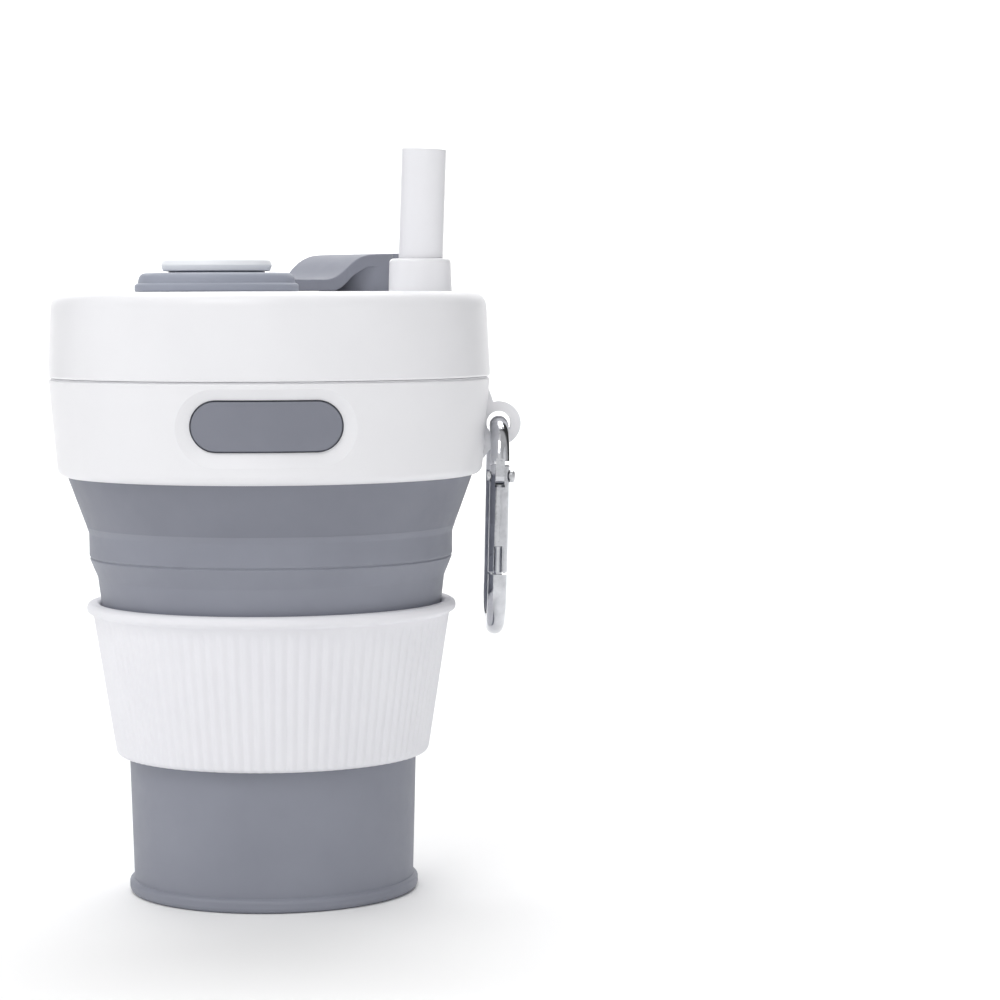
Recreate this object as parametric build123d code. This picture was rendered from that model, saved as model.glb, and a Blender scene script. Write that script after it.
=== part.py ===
from build123d import *
import math
import os

# Collapsible travel cup, open, standing on its base. Millimetres, Z up, base on Z = 0.
# +X is the spout and carrying-loop side, -Y is the front, and Z is the cup's axis.

GAP = 0.05                  # space left between pieces that touch
RUN = 0.06                  # radial clearance of a turning or sliding fit

# Collar ring and neck
RING_TOP, RING_BOTTOM = 115.75, 94.1
RING_TOP_R, RING_BOTTOM_R = 49.5, 47.6
RING_WALL = 2.0
NECK_TOP, NECK_R, NECK_BORE_R = 129.4, 46.3, 44.6

# Screw thread between neck and lid
LEAD = 6.0
THREAD_DEPTH, THREAD_ROOT, THREAD_CREST = 0.9, 2.0, 1.0
NECK_THREAD_Z, NECK_THREAD_TURNS = 118.6, 1.35
LID_THREAD_DEPTH, LID_THREAD_Z, LID_THREAD_ANGLE, LID_THREAD_TURNS = 1.0, 117.9, 120.0, 1.15

# Windows in the ring where the silicone shows, front and back
PAD_Z, PAD_LENGTH, PAD_HEIGHT = 106.7, 31.9, 10.45
SIDES = (-60, -30), (30, 60)        # ranges of Y that hold the front and back windows
PAD_GAP, PAD_SUNK, PAD_EDGE = 0.35, 0.85, 0.3
DISH_WIDTH, DISH_DEPTH, DISH_SOFTENING = 3.2, 1.45, 0.6

# Loop lug
LUG_X, LUG_Z, LUG_R, LUG_HALF, LUG_HOLE_R = 51.5, 105.3, 5.0, 1.6, 2.75

# Folding silicone body
LINER_R = 43.3
CREASE_Z, CREASE_R = 81.4, 40.9
MIDDLE_TOP, MIDDLE_BOTTOM, MIDDLE_R, MIDDLE_BORE_R = 63.3, 56.0, 36.9, 35.3
BASE_TOP, BASE_BORE_R, FLOOR = 34.6, 30.4, 3.5
WEB = 1.0                   # thickness of the folding walls

# Heat sleeve
SLEEVE_BOTTOM, SLEEVE_TOP, RIM_R, RIM_UNDER = 31.2, 65.7, 41.6, 63.4
CREST_LOW_R, CREST_SLOPE = 35.2, 0.156      # radius of the rib crests at the bottom, and its growth
RIBS, RIB_DEPTH = 96, 0.45

# Lid
LID_TOP, LID_BOTTOM, LID_R, LID_BORE_R = 135.1, 116.15, 49.67, 47.6
LID_UNDER = 133.05
SPOUT_X, SPOUT_TOP, SPOUT_R, SPOUT_BORE_R = 33.95, 142.5, 7.15, 5.4

# Stopper: heights are above the lid, distances are from the knob's axis
KNOB_X, SWING = -11.8, 47.0
DISC_R, STRAP_THICK, STRAP_END = 18.4, 2.6, 36.0
CAP_X, CAP_R, CAP_TOP, CAP_BORE_R, CAP_DEPTH = 46.2, 8.8, 8.95, 7.35, 7.5
CAP_CROWN = 0.9             # least thickness of silicone over the cap's bore

# Straw
STRAW_R, STRAW_BORE_R, STRAW_TOP, STRAW_SPLIT, STRAW_END = 5.0, 3.2, 167.0, 132.4, 6.0
STRAW_LEAN = 2.1            # degrees from vertical, towards +X

# Carabiner, hanging in the lug and leaning a little towards the cup
WIRE_R, BEND_R, LOOP_TOP, LOOP_BOTTOM = 2.15, 9.8, 104.95, 59.4
HANG = 1.5                  # degrees
GATE_R, GATE_TOP, GATE_BOTTOM = 2.2, 96.4, 72.2
PIVOT_Z, PIVOT_R, TANG_HALF, TANG_R = 93.8, 0.8, 1.0, 1.9
SLOT_HALF, SLOT_FLOOR, NOSE_SLOT_TOP = 1.1, 91.4, 78.6


def turned(*corners):
    """Solid of revolution about Z through (radius, height, rounding) corners."""
    points = [(r, z) for r, z, _ in corners]
    outline = FilletPolyline(*points, radius=[c[2] for c in corners], close=True)
    return revolve(Plane.XZ * make_face(outline), Axis.Z)


def rod(radius, low, high, x=0.0, y=0.0):
    """Upright cylinder between two heights."""
    return Pos(x, y, (low + high) / 2) * Cylinder(radius, high - low)


def block(low, high):
    """Box between two opposite corners."""
    centre = [(a + b) / 2 for a, b in zip(low, high)]
    return Pos(*centre) * Box(*[b - a for a, b in zip(low, high)])


def stadium(length, height, near, far):
    """Level stadium prism along Y at the pad's height."""
    plane = Plane(origin=(0, near, PAD_Z), x_dir=(1, 0, 0), z_dir=(0, 1, 0))
    return extrude(plane * SlotOverall(length, height), far - near)


def thread(radius, depth, low, angle, turns):
    """Helical ridge rooted in a wall at radius; a negative depth points inwards."""
    side = math.copysign(1, depth)
    path = Helix(LEAD, LEAD * turns, radius)
    section = Plane(origin=path @ 0, x_dir=(1, 0, 0), z_dir=path % 0) * make_face(
        Polyline((-0.4 * side, -THREAD_ROOT / 2), (depth, -THREAD_CREST / 2),
                 (depth, THREAD_CREST / 2), (-0.4 * side, THREAD_ROOT / 2), close=True))
    return Pos(0, 0, low) * Rot(0, 0, angle) * sweep(section, path, is_frenet=True)


def skirt_face(body):
    """The ring's sloping outside."""
    return max((f for f in body.faces() if f.geom_type == GeomType.CONE), key=lambda f: f.area)


def window_edges(skirt):
    """Edges of the skirt round its two windows."""
    reach = PAD_LENGTH / 2 + 2 * DISH_WIDTH
    return [e for e in skirt.edges() if abs(e.center().Z - PAD_Z) < PAD_HEIGHT and abs(e.center().X) < reach
            and abs(e.center().Y) > reach and e.bounding_box().size.Z < 2 * PAD_HEIGHT]


def collar_ring():
    top_in = RING_TOP_R - RING_WALL - 0.2
    body = turned(
        (NECK_BORE_R, NECK_TOP, 0.4), (NECK_R, NECK_TOP, 0.4), (NECK_R, RING_TOP, 0.3),
        (RING_TOP_R, RING_TOP, 0.4), (RING_BOTTOM_R, RING_BOTTOM, 2.1),
        (RING_BOTTOM_R - RING_WALL, RING_BOTTOM, 0), (top_in, RING_TOP - 2.1, 0.3),
        (NECK_BORE_R, RING_TOP - 2.1, 0))
    for near, far in SIDES:
        body -= stadium(PAD_LENGTH + 2 * PAD_GAP, PAD_HEIGHT + 2 * PAD_GAP, near, far)
    skirt = skirt_face(body)
    body = chamfer(window_edges(skirt), DISH_WIDTH, DISH_DEPTH, reference=skirt)
    body = fillet(window_edges(skirt_face(body)), DISH_SOFTENING)
    body += thread(NECK_R, THREAD_DEPTH, NECK_THREAD_Z, 0, NECK_THREAD_TURNS)
    return body + lug()


def lug():
    """Plate with concave blends into the ring, holding the carabiner."""
    web = [(47.9, 113.7), (49.1, 113.7), (LUG_X - 1.2, LUG_Z + 4.85), (LUG_X - 1.2, LUG_Z - 4.85),
           (47.75, 97.1), (46.9, 97.1)]
    outline = make_face(FilletPolyline(*web, radius=[0, 0, 3.0, 3.0, 0, 0], close=True))
    eye = Pos(LUG_X, LUG_Z) * Circle(LUG_R) - Pos(47.5 - LUG_R, LUG_Z) * Rectangle(2 * LUG_R, 2 * LUG_R)
    plate = outline + eye - Pos(LUG_X, LUG_Z) * Circle(LUG_HOLE_R)
    return extrude(Plane.XZ * plate, LUG_HALF, both=True)


def silicone_upper_wall():
    """Liner of the neck, band inside the ring, window pads and the open cone below."""
    band = RING_BOTTOM_R - RING_WALL - GAP
    top = RING_TOP - 2.1 - GAP
    body = turned(
        (LINER_R, NECK_TOP + 1.6, 0.5), (NECK_R - 0.2, NECK_TOP + 1.6, 0.5), (NECK_R - 0.2, NECK_TOP + GAP, 0),
        (NECK_BORE_R - GAP, NECK_TOP + GAP, 0), (NECK_BORE_R - GAP, top, 0),
        (RING_TOP_R - RING_WALL - 0.2 - 2 * GAP, top, 0.4), (band, RING_BOTTOM, 0),
        (CREASE_R, CREASE_Z, 0), (CREASE_R - WEB, CREASE_Z, 0), (LINER_R, RING_BOTTOM, 4))
    proud = turned((RING_TOP_R - 3.0, RING_TOP, 0), (RING_TOP_R - PAD_SUNK, RING_TOP, 0),
                   (RING_BOTTOM_R - PAD_SUNK, RING_BOTTOM, 0), (RING_BOTTOM_R - 3.0, RING_BOTTOM, 0))
    for near, far in SIDES:
        pad = proud & stadium(PAD_LENGTH, PAD_HEIGHT, near, far)
        body += fillet(skirt_face(pad).edges(), PAD_EDGE)
    return body


def upper_fold():
    """Folding wall from the crease down to the middle tier."""
    outer = [(CREASE_R, CREASE_Z - GAP, 0), (40.85, 76.3, 0.15), (40.5, 75.95, 0.1), (40.75, 75.6, 0.3),
             (39.05, 71.4, 1.5), (38.5, 67.2, 3), (38.0, MIDDLE_TOP + GAP, 0)]
    inner = [(CREASE_R - WEB, CREASE_Z - GAP, 0), (39.85, 76.0, 1.0), (38.05, 71.4, 1.0), (37.5, 67.2, 1.0)]
    return turned(*outer, (MIDDLE_BORE_R, MIDDLE_TOP + GAP, 0), (MIDDLE_BORE_R, MIDDLE_TOP + 1, 0.3),
                  (38.0 - WEB, MIDDLE_TOP + 1, 0.4), *reversed(inner))


def middle_tier():
    return turned((MIDDLE_BORE_R, MIDDLE_TOP, 0), (37.9, MIDDLE_TOP, 0), (37.9, MIDDLE_TOP - 1.2, 0.4),
                  (MIDDLE_R, MIDDLE_TOP - 1.8, 0.3), (MIDDLE_R, MIDDLE_BOTTOM, 0),
                  (MIDDLE_BORE_R, MIDDLE_BOTTOM, 0.3))


def lower_fold():
    """Folding wall from the middle tier down to the base tier."""
    top, low = MIDDLE_BOTTOM - GAP, BASE_TOP + GAP
    return turned((34.1, top, 0.4), (MIDDLE_R, top, 0), (MIDDLE_R, top - WEB, 0.3), (35.1, top - WEB, 0.3),
                  (33.7, low, 0.6), (BASE_BORE_R, low, 0), (BASE_BORE_R, low + WEB, 0.3),
                  (32.7, low + WEB, 0.3))


def base_cup():
    """Lowest tier, with a rounded foot bead and a ring groove under the floor."""
    return turned((0, 0, 0), (24.5, 0, 0.3), (25.3, 1.0, 0.3), (27.3, 1.0, 0.3), (28.1, 0, 0.3),
                  (32.65, 0, 1.3), (32.65, 2.9, 0.9), (31.6, 3.15, 0.2), (32.5, BASE_TOP, 0),
                  (BASE_BORE_R, BASE_TOP, 0), (29.7, FLOOR, 1.6), (0, FLOOR, 0))


def crest(z):
    return CREST_LOW_R + CREST_SLOPE * (z - SLEEVE_BOTTOM)


def heat_sleeve():
    """Sliding grip sleeve with a thick rim, upright ribs and an in-turned lip."""
    bottom, under = SLEEVE_BOTTOM, RIM_UNDER
    plain = turned(
        (38.55, SLEEVE_TOP, 1.2), (RIM_R, SLEEVE_TOP, 1.2), (RIM_R, under + 0.2, 1.1),
        (crest(under) - RIB_DEPTH, under - 0.4, 0.5), (crest(bottom) - RIB_DEPTH, bottom, 1.1),
        (32.9, bottom, 0.4), (32.9, bottom + 1.5, 0.4), (33.75, bottom + 2.6, 0.5),
        (38.3, under - 0.4, 0.8))
    low, high = bottom + 1.6, under - 1.6
    rings = []
    for z in (low, high):
        points = []
        for i in range(RIBS):
            for turn, lift in ((-0.28, 0.0), (0.28, 0.0), (0.42, -RIB_DEPTH - 0.2), (0.58, -RIB_DEPTH - 0.2)):
                a = 2 * math.pi * (i + turn) / RIBS
                points.append(((crest(z) + lift) * math.cos(a), (crest(z) + lift) * math.sin(a)))
        rings.append(Pos(0, 0, z) * make_face(Polyline(*points, close=True)))
    ribbed = loft(rings, ruled=True)
    cavity = turned((0, low - 1, 0), (crest(low) - 1.2, low - 1, 0), (crest(high) - 1.2, high + 1, 0),
                    (0, high + 1, 0))
    return plain + (ribbed - cavity)


def lid_shell():
    body = turned(
        (0, LID_TOP, 0), (48.72, LID_TOP, 3.6), (LID_R, LID_BOTTOM, 0.5),
        (LID_BORE_R, LID_BOTTOM, 0.3), (LID_BORE_R, LID_UNDER, 0.6), (43.2, LID_UNDER, 0),
        (43.2, 128.6, 0.4), (41.9, 128.6, 0.4), (41.9, LID_UNDER, 0.5), (0, LID_UNDER, 0))
    spout = Pos(SPOUT_X, 0, 0) * turned(
        (0, LID_UNDER, 0), (SPOUT_R, LID_UNDER, 0), (SPOUT_R, LID_TOP, 0), (SPOUT_R - 0.25, SPOUT_TOP, 0.9),
        (0, SPOUT_TOP, 0))
    body += spout
    body -= rod(SPOUT_BORE_R, LID_UNDER - 1, SPOUT_TOP + 1, SPOUT_X)
    body -= rod(2.5 + GAP, LID_UNDER - 1, LID_TOP + 1, KNOB_X)
    return body + thread(LID_BORE_R, -LID_THREAD_DEPTH, LID_THREAD_Z, LID_THREAD_ANGLE, LID_THREAD_TURNS)


def lid_gasket():
    return turned((43.2 + RUN, NECK_TOP + 1.6 + GAP, 0.4), (NECK_R - 0.4, NECK_TOP + 1.6 + GAP, 0.7),
                  (NECK_R - 0.4, LID_UNDER - GAP, 0.3), (43.2 + RUN, LID_UNDER - GAP, 0.3))


def at_knob(shape, turn=0.0):
    """Stand a stopper piece on the lid with its distances running out from the knob."""
    return Pos(KNOB_X, 0, LID_TOP) * Rot(0, 0, turn) * shape


def stopper_disc():
    return at_knob(turned((2.9 + RUN, GAP, 0.2), (DISC_R, GAP, 0.5), (DISC_R, 1.7, 0.6), (17.7, 2.0, 0.2),
                          (17.2, 4.3, 1.6), (10.8, 4.3, 0), (10.8, 4.62, 0), (2.9 + RUN, 4.62, 0.2)), SWING)


def stopper_knob():
    head = [(0, 4.7, 0), (12.0, 4.7, 0.4), (12.45, 6.0, 0.6), (12.0, 7.2, 0.7), (6.0, 8.4, 8), (0, 8.8, 0)]
    stem = [(0, GAP, 0), (2.9, GAP, 0.1), (2.9, 4.9, 0), (0, 4.9, 0)]
    under = LID_UNDER - LID_TOP
    barb = [(0, under - 2.4, 0), (1.9, under - 2.4, 0.3), (3.2, under - GAP - 0.3, 0.2),
            (3.2, under - GAP, 0.1), (2.5, under - GAP, 0), (2.5, 0.2, 0), (0, 0.2, 0)]
    body = turned(*head) + turned(*stem) + turned(*barb)
    return at_knob(body - block((-4, -0.5, under - 3), (4, 0.5, under + 1.6)))


def strap_top():
    """Top line of strap and cap: distance out, height. The strap is level, then rises on to the cap."""
    rise = Spline((27.0, 0.25 + STRAP_THICK), (34.4, 6.0), (41.5, CAP_TOP - 0.3), tangents=((1, 0), (1, 0.08)))
    crown = Spline(rise @ 1, (50, CAP_TOP), (58.5, CAP_TOP + 0.2), tangents=((1, 0.08), (1, 0)))
    return [Line((16, 0.25 + STRAP_THICK), rise @ 0), rise, crown]


def strap_side():
    """Side outline of the strap and the cap's shoulder."""
    top = strap_top()
    drop = Spline((40.5, 5.7), (34.9, 3.1), (29.2, 0.25), tangents=((-1, -0.4), (-1, 0)))
    end = Polyline(top[-1] @ 1, (58.5, CAP_TOP - 1.0), drop @ 0)
    return make_face(Curve() + [*top, end, drop, Line(drop @ 1, (16, 0.25)), Line((16, 0.25), top[0] @ 0)])


def under_top():
    """Everything below the top line, down to the lid."""
    top = strap_top()
    return make_face(Curve() + [*top, Polyline(top[-1] @ 1, (58.5, GAP), (16, GAP), top[0] @ 0)])


def strap_plan(height):
    """Plan outline of strap, cap and finger lip as a tall prism."""
    neck = make_face(Polyline((10, -6.5), (25, -7.4), (34, -8.8), (CAP_X, -CAP_R), (CAP_X, CAP_R), (34, 8.8),
                              (25, 7.4), (10, 6.5), close=True))
    lip = Pos(CAP_X + 5, 0) * Rectangle(10, 11) + Pos(CAP_X + 6.4, 0) * Circle(5.5)
    return extrude(neck + Pos(CAP_X, 0) * Circle(CAP_R) + lip, height)


def stopper_tongue():
    return extrude(Plane.XZ * strap_side(), 12, both=True) & strap_plan(14)


def stopper_strap():
    tongue = stopper_tongue() - rod(DISC_R + GAP, -1, 14)
    return at_knob(tongue & block((0, -12, -1), (STRAP_END - GAP, 12, 14)), SWING)


def stopper_cap():
    body = stopper_tongue() & block((STRAP_END, -12, -1), (70, 12, 14))
    drum = Pos(CAP_X, 0, 0) * turned((0, GAP, 0), (CAP_R, GAP, 0.3), (CAP_R, CAP_TOP, 0), (0, CAP_TOP, 0))
    body += drum & extrude(Plane.XZ * under_top(), 12, both=True)
    bore = rod(CAP_BORE_R, -1, CAP_DEPTH, CAP_X)
    body -= bore & Pos(0, 0, -CAP_CROWN) * extrude(Plane.XZ * under_top(), 12, both=True)
    plug = Pos(CAP_X, 0, 0) * turned((3.6, CAP_DEPTH - 1.6, 0.3), (5.0, CAP_DEPTH - 1.6, 0.4),
                                     (5.1, CAP_DEPTH + 0.3, 0), (3.6, CAP_DEPTH + 0.3, 0))
    return at_knob(body + plug, SWING)


def straw_axis(z):
    return SPOUT_X + (z - (LID_TOP + SPOUT_TOP) / 2) * math.tan(math.radians(STRAW_LEAN)), 0, z


def straw_tube(path):
    """Tube along a path that starts at its top."""
    section = Plane(origin=path @ 0, x_dir=(0, 1, 0), z_dir=path % 0)
    return sweep(section * Circle(STRAW_R), path) - sweep(section * Circle(STRAW_BORE_R), path)


def straw_top():
    return straw_tube(Line(straw_axis(STRAW_TOP), straw_axis(STRAW_SPLIT + GAP)))


def straw_lower():
    """Soft part of the straw: straight below the lid, then eased in to clear the tapering cup."""
    lean = (-math.tan(math.radians(STRAW_LEAN)), 0, -1)
    start, knee = straw_axis(STRAW_SPLIT - GAP), straw_axis(95.0)
    bend = Spline(knee, (29.0, 0, 62.0), (24.6, 0, 34.0), (23.6, 0, STRAW_END),
                  tangents=(lean, (0, 0, -1)))
    return straw_tube(Line(start, knee)) + straw_tube(bend)


def loop_wire():
    """Closed oval of round wire in the plane X = 0, bends at top and bottom."""
    high, low = LOOP_TOP - BEND_R, LOOP_BOTTOM + BEND_R
    ring = Rot(0, 90, 0) * Torus(BEND_R, WIRE_R)
    top = Pos(0, 0, high) * ring & block((-5, -15, high), (5, 15, high + 15))
    bottom = Pos(0, 0, low) * ring & block((-5, -15, low - 15), (5, 15, low))
    return top + bottom + rod(WIRE_R, low, high, 0, BEND_R) + rod(WIRE_R, low, high, 0, -BEND_R)


def hung(shape):
    """Hang a carabiner piece, drawn upright in the plane X = 0, in the lug."""
    return Pos(LUG_X, 0, LOOP_TOP) * Rot(0, HANG, 0) * Pos(0, 0, -LOOP_TOP) * shape


def cross_pin(radius, low, high):
    """Cylinder along X through the gate's pivot."""
    return Pos((low + high) / 2, -BEND_R, PIVOT_Z) * Rot(0, 90, 0) * Cylinder(radius, high - low)


def carabiner_frame():
    shoulder = GATE_TOP + 0.8
    body = loop_wire() - block((-5, -15, GATE_BOTTOM - 0.4), (5, -5, shoulder))
    tang = block((-TANG_HALF, -BEND_R - TANG_R, PIVOT_Z), (TANG_HALF, -BEND_R + TANG_R, shoulder + 0.6))
    tang += cross_pin(TANG_R, -TANG_HALF, TANG_HALF)
    nose = rod(0.95, GATE_BOTTOM - 0.6, NOSE_SLOT_TOP - 2.3, 0, -BEND_R)
    nose += rod(0.95, NOSE_SLOT_TOP - 2.3, NOSE_SLOT_TOP - 0.6, 0, -BEND_R)
    return hung(body + tang - cross_pin(PIVOT_R + 0.02, -3, 3) + nose)


def carabiner_gate():
    body = rod(GATE_R, GATE_BOTTOM, GATE_TOP, 0, -BEND_R)
    body = fillet(body.edges().filter_by(GeomType.CIRCLE), 0.35)
    body -= block((-SLOT_HALF, -15, SLOT_FLOOR), (SLOT_HALF, -5, GATE_TOP + 1))
    body -= block((-SLOT_HALF, -15, GATE_BOTTOM - 1), (SLOT_HALF, -5, NOSE_SLOT_TOP - SLOT_HALF))
    body -= Pos(0, -BEND_R, NOSE_SLOT_TOP - SLOT_HALF) * Rot(90, 0, 0) * Cylinder(SLOT_HALF, 8)
    body -= rod(1.15, NOSE_SLOT_TOP + 2.2, SLOT_FLOOR + 0.5, 0, -BEND_R)
    body -= block((-0.16, -BEND_R - 3, NOSE_SLOT_TOP + 0.6), (0.16, -BEND_R - GATE_R + 0.4, SLOT_FLOOR - 0.5))
    return hung(body - cross_pin(PIVOT_R + RUN, -3, 3))


def gate_rivet():
    body = cross_pin(PIVOT_R, -GATE_R - 0.3, GATE_R + 0.5)
    right = GATE_R + GAP
    head = cross_pin(1.4, right, right + 1.1)
    head = fillet(head.edges().filter_by(GeomType.CIRCLE).sort_by(Axis.X)[-1], 0.6)
    body += head + cross_pin(1.05, -right - 0.5, -right)
    return hung(body)


def gate_plunger():
    tip = PIVOT_Z - TANG_R - GAP
    return hung(Pos(0, -BEND_R, 0) * (rod(1.1, tip - 2.2, tip) + rod(0.45, tip - 3.6, tip - 2.2)))


def gate_spring():
    low, high = NOSE_SLOT_TOP + 2.6, PIVOT_Z - TANG_R - GAP - 2.5
    path = Helix(0.9, high - low, 0.8)
    coil = sweep(Plane(origin=path @ 0, z_dir=path % 0) * Circle(0.2), path, is_frenet=True)
    return hung(Pos(0, -BEND_R, low) * coil)


PIECES = [collar_ring, silicone_upper_wall, upper_fold, middle_tier, lower_fold, base_cup, heat_sleeve,
          lid_shell, lid_gasket, stopper_disc, stopper_strap, stopper_cap, stopper_knob, straw_top,
          straw_lower, carabiner_frame, carabiner_gate, gate_rivet, gate_spring, gate_plunger]

os.makedirs("parts", exist_ok=True)
for make in PIECES:
    piece = make()
    solids = piece.solids()
    assert len(solids) == 1, (make.__name__, len(solids))
    export_step(solids[0], f"parts/{make.__name__}.step")
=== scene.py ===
"""Collapsible travel cup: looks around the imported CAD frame. Metres, Z up, base on Z = 0."""
import math

import bmesh
import bpy
from mathutils import Euler, Matrix, Vector


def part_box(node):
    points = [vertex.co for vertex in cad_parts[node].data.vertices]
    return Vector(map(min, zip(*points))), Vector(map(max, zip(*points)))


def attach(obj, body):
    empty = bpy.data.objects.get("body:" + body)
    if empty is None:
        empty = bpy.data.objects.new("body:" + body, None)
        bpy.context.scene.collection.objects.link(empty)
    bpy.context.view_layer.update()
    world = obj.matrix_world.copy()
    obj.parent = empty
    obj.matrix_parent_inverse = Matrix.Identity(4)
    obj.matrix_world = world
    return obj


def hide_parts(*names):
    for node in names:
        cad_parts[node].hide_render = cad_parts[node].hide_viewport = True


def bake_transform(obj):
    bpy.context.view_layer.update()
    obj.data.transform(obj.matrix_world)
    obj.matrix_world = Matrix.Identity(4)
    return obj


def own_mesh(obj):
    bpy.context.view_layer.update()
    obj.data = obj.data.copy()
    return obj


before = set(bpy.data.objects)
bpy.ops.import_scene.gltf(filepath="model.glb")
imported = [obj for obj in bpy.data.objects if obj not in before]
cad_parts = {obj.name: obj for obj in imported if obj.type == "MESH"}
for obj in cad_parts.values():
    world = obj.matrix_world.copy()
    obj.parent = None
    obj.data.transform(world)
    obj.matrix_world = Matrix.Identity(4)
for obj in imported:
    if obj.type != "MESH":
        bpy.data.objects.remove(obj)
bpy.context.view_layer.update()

MM = 0.001
GAP = 0.05                       # millimetres between a folding wall and its neighbours
AXIS_SEGMENTS = 240              # steps round the cup's axis in a lathed piece
CREASE_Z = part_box("upper_fold")[1].z
MIDDLE_LOW, MIDDLE_HIGH = (corner.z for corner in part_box("middle_tier"))
BASE_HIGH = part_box("base_cup")[1].z
LID_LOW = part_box("lid_shell")[0].z


# ---------------------------------------------------------------- shapes

def rounded(corners, arc_step=math.radians(10)):
    """Closed outline of (r, z) points in metres from (r, z, rounding) corners in millimetres."""
    outline = []
    for i, (x, z, radius) in enumerate(corners):
        here = Vector((x, z))
        before = Vector(corners[i - 1][:2]) - here
        after = Vector(corners[(i + 1) % len(corners)][:2]) - here
        if radius == 0:
            outline.append(here * MM)
            continue
        before.normalize()
        after.normalize()
        half = before.angle(after) / 2
        centre = here + (before + after).normalized() * radius / math.sin(half)
        first = here + before * radius / math.tan(half) - centre
        last = here + after * radius / math.tan(half) - centre
        steps = max(2, math.ceil(first.angle(last) / arc_step))
        for k in range(steps + 1):
            mixed = first.lerp(last, k / steps)
            outline.append((centre + mixed.normalized() * radius) * MM)
    return outline


def divided(outline, longest):
    """The same closed outline with no run longer than the given length."""
    points = []
    for a, b in zip(outline, outline[1:] + outline[:1]):
        parts = max(1, math.ceil((b - a).length / longest))
        points += [a.lerp(b, k / parts) for k in range(parts)]
    return points


def mesh_object(name, vertices, faces):
    mesh = bpy.data.meshes.new(name)
    mesh.from_pydata([tuple(v) for v in vertices], [], faces)
    work = bmesh.new()
    work.from_mesh(mesh)
    bmesh.ops.recalc_face_normals(work, faces=work.faces)
    work.to_mesh(mesh)
    work.free()
    mesh.shade_smooth()
    piece = bpy.data.objects.new(name, mesh)
    bpy.context.scene.collection.objects.link(piece)
    return piece


def lathe(name, outline, segments=AXIS_SEGMENTS, relief=None):
    """Closed outline turned about Z; relief(angle, r, z) gives a change of radius."""
    count = len(outline)
    vertices = []
    for s in range(segments):
        angle = 2 * math.pi * s / segments
        for r, z in outline:
            full = r + (relief(angle, r, z) if relief else 0.0)
            vertices.append((full * math.cos(angle), full * math.sin(angle), z))
    faces = [(s * count + i, s * count + (i + 1) % count, (s + 1) % segments * count + (i + 1) % count,
              (s + 1) % segments * count + i) for s in range(segments) for i in range(count)]
    return mesh_object(name, vertices, faces)


def smooth_by_angle(piece, degrees=32):
    """Smooth shading that keeps real edges, on a CAD node or a new piece."""
    piece.data.shade_smooth()
    piece.data.set_sharp_from_angle(angle=math.radians(degrees))


# ---------------------------------------------------------------- materials

def shader_graph(name):
    material = bpy.data.materials.new(name)
    material.use_nodes = True
    nodes, links = material.node_tree.nodes, material.node_tree.links
    nodes.clear()
    output = nodes.new("ShaderNodeOutputMaterial")
    shader = nodes.new("ShaderNodeBsdfPrincipled")
    links.new(shader.outputs["BSDF"], output.inputs["Surface"])
    place = nodes.new("ShaderNodeTexCoord").outputs["Object"]
    return material, nodes, links, shader, place


def noise(nodes, links, place, scale, detail=3.0, roughness=0.55):
    node = nodes.new("ShaderNodeTexNoise")
    node.inputs["Scale"].default_value = scale
    node.inputs["Detail"].default_value = detail
    node.inputs["Roughness"].default_value = roughness
    links.new(place, node.inputs["Vector"])
    return node.outputs["Fac"]


def ranged(nodes, links, value, low, high):
    node = nodes.new("ShaderNodeMapRange")
    node.inputs["From Min"].default_value, node.inputs["From Max"].default_value = 0.3, 0.7
    node.inputs["To Min"].default_value, node.inputs["To Max"].default_value = low, high
    links.new(value, node.inputs["Value"])
    return node.outputs["Result"]


def moulded(name, light, dark, rough, grain, grain_depth, mottle=45.0):
    """Moulded plastic or silicone: faint mottling, uneven gloss and a fine surface grain."""
    material, nodes, links, shader, place = shader_graph(name)
    mix = nodes.new("ShaderNodeMix")
    mix.data_type = "RGBA"
    mix.inputs["A"].default_value = (*dark, 1)
    mix.inputs["B"].default_value = (*light, 1)
    links.new(ranged(nodes, links, noise(nodes, links, place, mottle), 0, 1), mix.inputs["Factor"])
    links.new(mix.outputs["Result"], shader.inputs["Base Color"])
    gloss = noise(nodes, links, place, mottle * 6, 4.0)
    links.new(ranged(nodes, links, gloss, rough - 0.05, rough + 0.05), shader.inputs["Roughness"])
    bump = nodes.new("ShaderNodeBump")
    bump.inputs["Distance"].default_value = grain_depth
    bump.inputs["Strength"].default_value = 0.6
    links.new(noise(nodes, links, place, grain, 2.0), bump.inputs["Height"])
    links.new(bump.outputs["Normal"], shader.inputs["Normal"])
    return material


def cast_metal(name, light, dark, rough, ripple, ripple_depth):
    """Bright plating over cast or drawn metal that isn't quite smooth."""
    material, nodes, links, shader, place = shader_graph(name)
    mix = nodes.new("ShaderNodeMix")
    mix.data_type = "RGBA"
    mix.inputs["A"].default_value = (*dark, 1)
    mix.inputs["B"].default_value = (*light, 1)
    links.new(ranged(nodes, links, noise(nodes, links, place, 380.0), 0, 1), mix.inputs["Factor"])
    links.new(mix.outputs["Result"], shader.inputs["Base Color"])
    links.new(ranged(nodes, links, noise(nodes, links, place, 900.0), rough, rough + 0.12),
              shader.inputs["Roughness"])
    bump = nodes.new("ShaderNodeBump")
    bump.inputs["Distance"].default_value = ripple_depth
    links.new(noise(nodes, links, place, ripple), bump.inputs["Height"])
    links.new(bump.outputs["Normal"], shader.inputs["Normal"])
    shader.inputs["Metallic"].default_value = 1.0
    return material


def finish_piece(piece, material):
    piece.data.materials.clear()
    piece.data.materials.append(material)
    return piece


# ---------------------------------------------------------------- pieces

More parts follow.
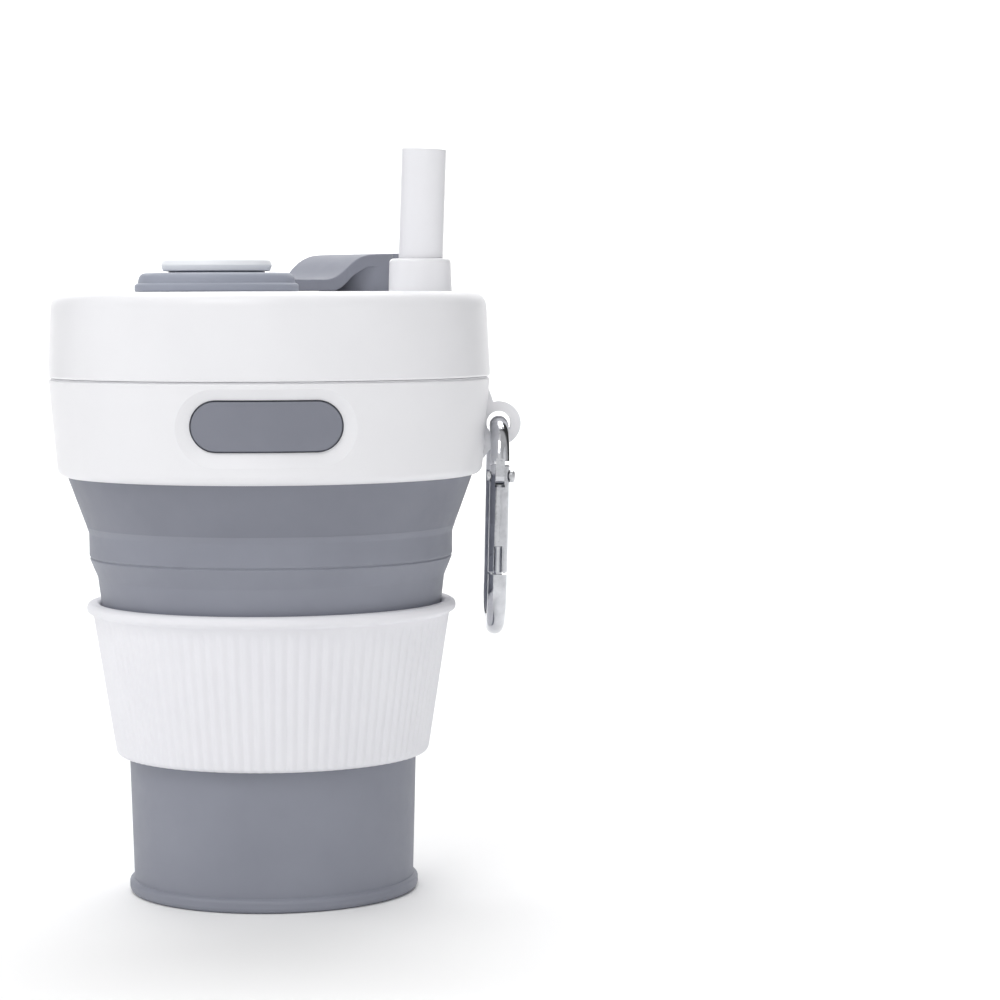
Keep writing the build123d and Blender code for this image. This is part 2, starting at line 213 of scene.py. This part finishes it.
def ribbed_sleeve():
    """Grip sleeve: rounded rim, upright ribs that fade out under it, in-turned lip."""
    ribs, per_rib, depth, roundness = 96, 10, 0.34 * MM, 0.7
    bottom, under, top = 31.2, 63.4, 65.7
    low_r, slope, rim_r, lip_r, skin = 35.2, 0.156, 41.58, 32.9, 0.02
    fade_start, fade = (under - 1.2) * MM, 1.1 * MM

    def crest(z):
        return low_r + slope * (z - bottom)

    def relief(angle, r, z):
        inside = r < (crest(z / MM) - 1.0) * MM
        if inside or z > under * MM:
            return 0.0
        ends = min(max((fade_start - z) / fade, 0), 1)
        wave = 0.5 + 0.5 * math.cos(ribs * angle)
        return depth * ends * (wave ** roundness - 1.0)

    outline = rounded([
        (38.55, top, 1.1), (rim_r, top, 1.1), (rim_r, under + 0.1, 1.0),
        (crest(under) - skin, under - 0.3, 0.5), (crest(bottom) - skin, bottom, 1.3),
        (lip_r, bottom, 0.4), (lip_r, bottom + 1.5, 0.4),
        (33.75, bottom + 2.6, 0.5), (38.3, under - 0.4, 0.8)])
    piece = lathe("sleeve_ribbed", divided(outline, 0.9 * MM), ribs * per_rib, relief)
    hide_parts("heat_sleeve")
    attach(piece, "sleeve")
    return piece


def seam_land(material):
    """Land on the ring's top that fills most of the seam under the lid, so that the seam isn't dark."""
    inner, outer = 46.8, 49.0
    seat, high = LID_LOW / MM - 0.45, LID_LOW / MM - 0.08
    outline = rounded([(inner, seat, 0), (outer, seat, 0), (outer, high, 0.12), (inner, high, 0)])
    piece = lathe("collar_land", outline)
    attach(piece, "collar")
    finish_piece(piece, material)


def upper_web():
    """Folding wall under the crease."""
    crease, low = CREASE_Z / MM, MIDDLE_HIGH / MM + GAP
    outer = [(41.44, crease + 1.45, 0), (40.92, crease, 1.2), (40.87, 76.3, 0.3), (40.5, 75.95, 0.12),
             (40.78, 75.6, 0.3), (39.05, 71.4, 1.8), (38.5, 67.2, 3), (38.0, low, 0)]
    inner = [(40.4, crease + 0.9, 0), (39.95, crease, 0.4), (39.85, 76.0, 1.0), (38.05, 71.4, 1.0),
             (37.5, 67.2, 1.0)]
    outline = rounded([*outer, (35.3, low, 0), (35.3, low + 0.95, 0.3), (37.0, low + 0.95, 0.4),
                       *reversed(inner)])
    piece = lathe("fold_upper_web", divided(outline, 0.5 * MM))
    smooth_by_angle(piece, 50)
    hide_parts("upper_fold")
    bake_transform(piece)
    return piece


def lower_web():
    """Second folding wall, inside the sleeve."""
    top, low = MIDDLE_LOW / MM - GAP, BASE_HIGH / MM + GAP
    outline = rounded([
        (34.1, top, 0.4), (36.9, top, 0), (36.9, top - 1, 0.3), (35.1, top - 1, 0.3), (33.7, low, 0.6),
        (30.4, low, 0), (30.4, low + 1, 0.3), (32.7, low + 1, 0.3)])
    piece = lathe("fold_lower_web", divided(outline, 0.6 * MM))
    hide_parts("lower_fold")
    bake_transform(piece)
    return piece


def soft_copy(name, nodes, voxel, passes):
    """CAD solids joined in one skin with its edges melted round, as soft moulding leaves them."""
    work = bmesh.new()
    for node in nodes:
        work.from_mesh(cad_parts[node].data)
    mesh = bpy.data.meshes.new(name)
    work.to_mesh(mesh)
    work.free()
    piece = bpy.data.objects.new(name, mesh)
    bpy.context.scene.collection.objects.link(piece)
    remesh = piece.modifiers.new("voxels", "REMESH")
    remesh.mode = "VOXEL"
    remesh.voxel_size = voxel
    relax = piece.modifiers.new("relax", "LAPLACIANSMOOTH")
    relax.iterations = passes
    relax.lambda_factor = 0.6
    depsgraph = bpy.context.evaluated_depsgraph_get()
    melted = bpy.data.meshes.new_from_object(piece.evaluated_get(depsgraph))
    piece.modifiers.clear()
    piece.data = melted
    piece.data.shade_smooth()
    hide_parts(*nodes)
    return piece


def stopper_tongue(material):
    """Strap and cap in one soft skin."""
    voxel, passes, bend = 0.22 * MM, 4, (18.6, 35.8)
    tongue = soft_copy("stopper_tongue", ("stopper_strap", "stopper_cap"), voxel, passes)
    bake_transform(tongue)
    finish_piece(tongue, material)


def lower_straw(material):
    """Soft end of the straw."""
    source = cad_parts["straw_lower"]
    piece = bpy.data.objects.new("straw_soft_end", source.data.copy())
    bpy.context.scene.collection.objects.link(piece)
    piece.data.shade_smooth()
    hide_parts("straw_lower")
    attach(piece, "straw")
    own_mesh(piece)
    finish_piece(piece, material)


# ---------------------------------------------------------------- scene

def backdrop():
    """Pale table that curves up behind the cup."""
    half, depth, front, sweep, height = 1.3, 2.2, -1.6, 0.8, 2.4
    line = [Vector((front, 0.0)), Vector((depth - sweep, 0.0))]
    steps = 16
    for k in range(1, steps + 1):
        turn = math.pi / 2 * k / steps
        line.append(Vector((depth - sweep + sweep * math.sin(turn), sweep * (1 - math.cos(turn)))))
    line.append(Vector((depth, height)))
    vertices = [(x, y, z) for y, z in line for x in (-half, half)]
    faces = [(2 * i, 2 * i + 1, 2 * i + 3, 2 * i + 2) for i in range(len(line) - 1)]
    floor = mesh_object("table", vertices, faces)
    material, _, _, shader, _ = shader_graph("pale_table")
    shader.inputs["Base Color"].default_value = (0.96, 0.96, 0.96, 1)
    shader.inputs["Roughness"].default_value = 0.9
    floor.data.materials.append(material)


def softbox(name, place, size, power, target=(0, 0, 0.08)):
    data = bpy.data.lights.new(name, "AREA")
    data.shape = "RECTANGLE"
    data.size, data.size_y = size
    data.energy = power
    light = bpy.data.objects.new(name, data)
    light.location = place
    light.rotation_euler = (Vector(target) - Vector(place)).to_track_quat("-Z", "Y").to_euler()
    bpy.context.scene.collection.objects.link(light)


def studio_walls(strength):
    """White screens round the cup with dark gaps between them, which the chrome mirrors.

    A stop is a share of a turn that starts in front of the cup and passes left, back and right.
    """
    white, soft, gap = 1.0, 0.6, 0.06
    stops = [(0.0, white), (0.08, white), (0.10, gap), (0.125, gap), (0.15, white), (0.31, white),
             (0.35, gap), (0.40, gap), (0.44, white), (0.58, white), (0.61, gap), (0.69, gap),
             (0.73, soft), (0.92, soft), (1.0, white)]
    world = bpy.data.worlds.new("studio")
    bpy.context.scene.world = world
    world.use_nodes = True
    nodes, links = world.node_tree.nodes, world.node_tree.links
    split, turn, share, tint = (nodes.new("ShaderNode" + kind) for kind in
                                ("SeparateXYZ", "Math", "MapRange", "ValToRGB"))
    turn.operation = "ARCTAN2"
    share.inputs["From Min"].default_value, share.inputs["From Max"].default_value = -math.pi, math.pi
    ramp = tint.color_ramp
    while len(ramp.elements) < len(stops):
        ramp.elements.new(0.5)
    for element, (place, grey) in zip(ramp.elements, stops):
        element.position = place
        element.color = (grey, grey, grey, 1)
    background = nodes["Background"]
    background.inputs["Strength"].default_value = strength
    links.new(nodes.new("ShaderNodeTexCoord").outputs["Generated"], split.inputs[0])
    links.new(split.outputs["X"], turn.inputs[0])
    links.new(split.outputs["Y"], turn.inputs[1])
    links.new(turn.outputs[0], share.inputs["Value"])
    links.new(share.outputs["Result"], tint.inputs[0])
    links.new(tint.outputs["Color"], background.inputs["Color"])


def studio():
    studio_walls(0.85)
    softbox("key_left", (-0.55, -1.0, 1.5), (1.0, 0.8), 9.6)
    softbox("fill_right", (1.1, -0.7, 0.5), (0.8, 0.8), 0.6)
    softbox("top_light", (0.0, 0.5, 1.3), (1.0, 0.6), 4.5)
    softbox("wall_wash", (0.0, 0.9, 1.9), (2.2, 0.6), 34.0, target=(0, 2.2, 0.7))
    bpy.context.scene.view_settings.view_transform = "Standard"


def camera():
    """In front of the cup, just under the lid's top, turned so that the cup stands left of the middle."""
    distance, height, lens = 0.690, 0.1332, 109.8
    azimuth, yaw_right = math.radians(1.1), math.radians(4.298)
    pitch_down, roll = math.radians(3.76), math.radians(0.212)
    data = bpy.data.cameras.new("camera")
    data.lens, data.sensor_width = lens, 36.0
    view = bpy.data.objects.new("camera", data)
    view.location = (distance * math.sin(azimuth), -distance * math.cos(azimuth), height)
    aim = Euler((math.pi / 2 - pitch_down, 0, azimuth - yaw_right), "XYZ").to_matrix()
    view.rotation_euler = (aim @ Matrix.Rotation(-roll, 3, "Z")).to_euler()
    bpy.context.scene.collection.objects.link(view)
    bpy.context.scene.camera = view


def make_materials():
    """Every material. The three greys are one silicone; the open wall is darker with painted shade and the
    disc lighter with painted light.
    """
    soft, hard, fine = 5200.0, 3600.0, 4200.0       # scales of the surface grain
    return {
        "grey": moulded("grey_silicone", (0.262, 0.274, 0.325), (0.238, 0.249, 0.297), 0.55, soft, 4e-5),
        # The open wall's grey is darkened: painted shade on the downward-facing wall.
        "wall": moulded("wall_silicone_painted_shade", (0.222, 0.232, 0.277), (0.201, 0.210, 0.252), 0.55, soft, 4e-5),
        # The disc's grey is lightened: painted light on the upward-facing disc.
        "disc": moulded("disc_silicone_painted_light", (0.330, 0.352, 0.420), (0.305, 0.325, 0.388), 0.5, soft, 4e-5),
        "collar": moulded("collar_polypropylene", (0.86, 0.86, 0.885), (0.84, 0.84, 0.865), 0.42, hard, 2e-5),
        "lid": moulded("lid_polypropylene", (0.87, 0.87, 0.895), (0.85, 0.85, 0.875), 0.36, hard, 1.5e-5),
        "sleeve": moulded("white_silicone", (0.85, 0.85, 0.885), (0.82, 0.82, 0.86), 0.6, soft, 4e-5),
        "straw": moulded("straw_silicone", (0.86, 0.86, 0.89), (0.84, 0.84, 0.87), 0.4, fine, 2e-5),
        "knob": moulded("knob_plastic", (0.93, 0.955, 0.985), (0.91, 0.935, 0.965), 0.38, hard, 1.5e-5),
        "seal": moulded("seal_silicone", (0.66, 0.66, 0.65), (0.62, 0.62, 0.61), 0.45, soft, 3e-5),
        "chrome": cast_metal("chrome_plating", (0.66, 0.67, 0.70), (0.54, 0.55, 0.58), 0.05, 160.0, 3e-5),
        "steel": cast_metal("rivet_steel", (0.62, 0.63, 0.65), (0.52, 0.53, 0.55), 0.25, 1500.0, 4e-5),
        "wire": cast_metal("spring_wire", (0.50, 0.51, 0.53), (0.42, 0.43, 0.45), 0.3, 2500.0, 2e-5)}


def new_pieces(looks):
    """Pieces made here instead of the frame's, and the land in the seam."""
    finish_piece(ribbed_sleeve(), looks["sleeve"])
    finish_piece(upper_web(), looks["grey"])
    finish_piece(lower_web(), looks["grey"])
    seam_land(looks["collar"])
    stopper_tongue(looks["grey"])
    lower_straw(looks["straw"])


def kept_nodes(looks):
    """The frame's own nodes, which only get a material and their shading."""
    look_of = {
        # The wall look carries painted shade and the disc look carries painted light.
        "collar_ring": "collar", "silicone_upper_wall": "wall", "middle_tier": "grey", "base_cup": "grey",
        "lid_shell": "lid", "lid_gasket": "seal", "stopper_disc": "disc", "stopper_knob": "knob",
        "straw_top": "straw", "carabiner_frame": "chrome", "carabiner_gate": "chrome",
        "gate_rivet": "steel", "gate_spring": "wire", "gate_plunger": "steel"}
    for node, look in look_of.items():
        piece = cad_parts[node]
        piece.data.materials.clear()
        piece.data.materials.append(looks[look])
        smooth_by_angle(piece)


def main():
    looks = make_materials()
    new_pieces(looks)
    kept_nodes(looks)
    backdrop()
    studio()
    camera()


main()
